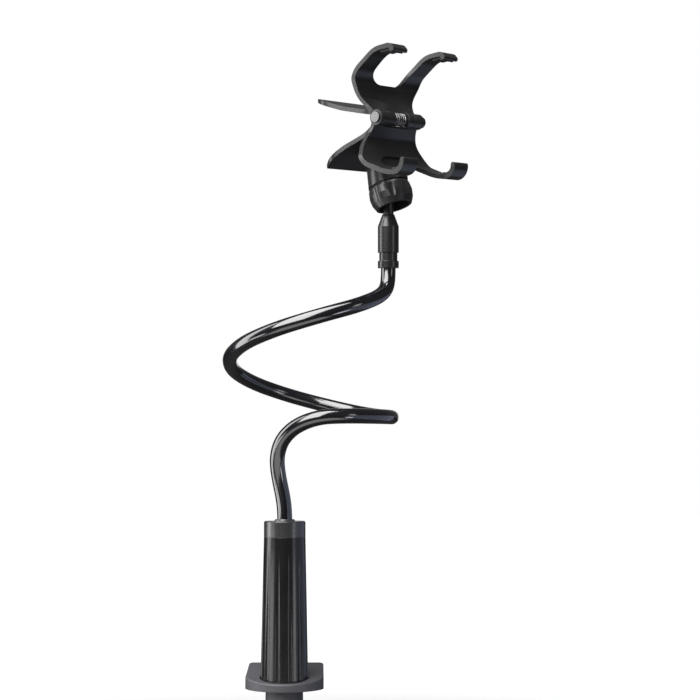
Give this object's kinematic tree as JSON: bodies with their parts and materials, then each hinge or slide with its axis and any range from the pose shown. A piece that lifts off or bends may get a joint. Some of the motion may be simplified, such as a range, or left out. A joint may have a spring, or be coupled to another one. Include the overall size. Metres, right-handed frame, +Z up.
{
  "type": "phone gooseneck holder",
  "caption": "Table-clamp phone holder: a screw clamp with a fluted grip carries a coiled bendable neck, a ball joint with a lock nut and a sprung two-handed clip.",
  "frame": {"origin": "middle of the lower jaw's rubber pad, on the face that the table's underside rests on", "axes": "+Z up along the clamp's column, -Y towards the user in front of the table edge, +X to the right as seen from the front"},
  "size_m": [0.1585, 0.1342, 0.4709],
  "materials": {
    "clamp_grey": "fine matt moulding",
    "sleeve_charcoal": "satin moulding",
    "collar_grey": "satin, lighter than the sleeve",
    "pad_rubber": "matt rubber",
    "neck_black": "glossy sheath",
    "core_wire": "drawn wire",
    "connector_charcoal": "satin anodised",
    "steel": "bright drawn",
    "stem_dark": "dark burnished",
    "clip_black": "satin moulding",
    "washer_white": "plain acetal"
  },
  "bodies": {
    "clamp": {"clamp_body": "clamp_grey", "clamp_pad": "pad_rubber"},
    "presser": {"presser_plate": "clamp_grey", "presser_pad": "pad_rubber", "thrust_washer": "washer_white"},
    "sleeve": {"grip_sleeve": "sleeve_charcoal", "lead_screw": "steel", "sleeve_collar": "collar_grey", "swivel_washer": "washer_white"},
    "neck_base": {"neck_ferrule": "steel", "gooseneck_sheath": "neck_black", "gooseneck_core": "core_wire"},
    "neck_top": {"top_ferrule": "connector_charcoal", "ball_connector": "connector_charcoal"},
    "stud": {"ball_stud": "stem_dark"},
    "liner": {"ball_liner": "washer_white"},
    "clip": {"clip_lower": "clip_black", "hinge_pin": "steel", "pin_cap": "clip_black", "jaw_spring": "steel", "pad_lower_left": "pad_rubber", "pad_lower_right": "pad_rubber"},
    "nut": {"lock_nut": "clip_black"},
    "jaw": {"clip_upper": "clip_black", "pad_upper_left": "pad_rubber", "pad_upper_right": "pad_rubber"}
  },
  "joints": [
    {"name": "presser_slide", "type": "slide", "parent": "clamp", "child": "presser", "axis": [0, 0, 1], "range_m": [-0.045, 0]},
    {"name": "sleeve_turn", "type": "hinge", "parent": "presser", "child": "sleeve", "pos_m": [0, -0.023, 0.1], "axis": [0, 0, 1], "range_deg": [-2030, 5]},
    {"name": "neck_swivel", "type": "hinge", "parent": "presser", "child": "neck_base", "pos_m": [0, -0.023, 0.154], "axis": [0, 0, 1], "continuous": true},
    {"name": "gooseneck_bend", "type": "hinge", "parent": "neck_base", "child": "neck_top", "pos_m": [0.0155, 0.007, 0.255], "axis": [1, 0, 0], "range_deg": [-25, 25], "deforming": ["gooseneck_sheath", "gooseneck_core"]},
    {"name": "ball_pan", "type": "hinge", "parent": "neck_top", "child": "stud", "pos_m": [0.0657, -0.0178, 0.3739], "axis": [0, -0.0698, 0.9976], "continuous": true},
    {"name": "ball_tilt", "type": "hinge", "parent": "stud", "child": "liner", "pos_m": [0.0657, -0.0178, 0.3739], "axis": [-0.6414, -0.7654, -0.0535], "range_deg": [-40, 2.5]},
    {"name": "ball_roll", "type": "hinge", "parent": "liner", "child": "clip", "pos_m": [0.0657, -0.0178, 0.3739], "axis": [-0.2529, 0.145, 0.9566], "continuous": true},
    {"name": "nut_turn", "type": "hinge", "parent": "clip", "child": "nut", "pos_m": [0.0657, -0.0178, 0.3739], "axis": [-0.2529, 0.145, 0.9566], "range_deg": [0, 150]},
    {"name": "jaw_open", "type": "hinge", "parent": "clip", "child": "jaw", "pos_m": [0.07129, -0.02674, 0.41462], "axis": [-0.6769, -0.7329, -0.0678], "range_deg": [-28, 34], "deforming": ["jaw_spring"]}
  ],
  "couplings": [
    {"joint": "sleeve_turn", "follows": "presser_slide", "rad_per_m": 785.4}
  ]
}
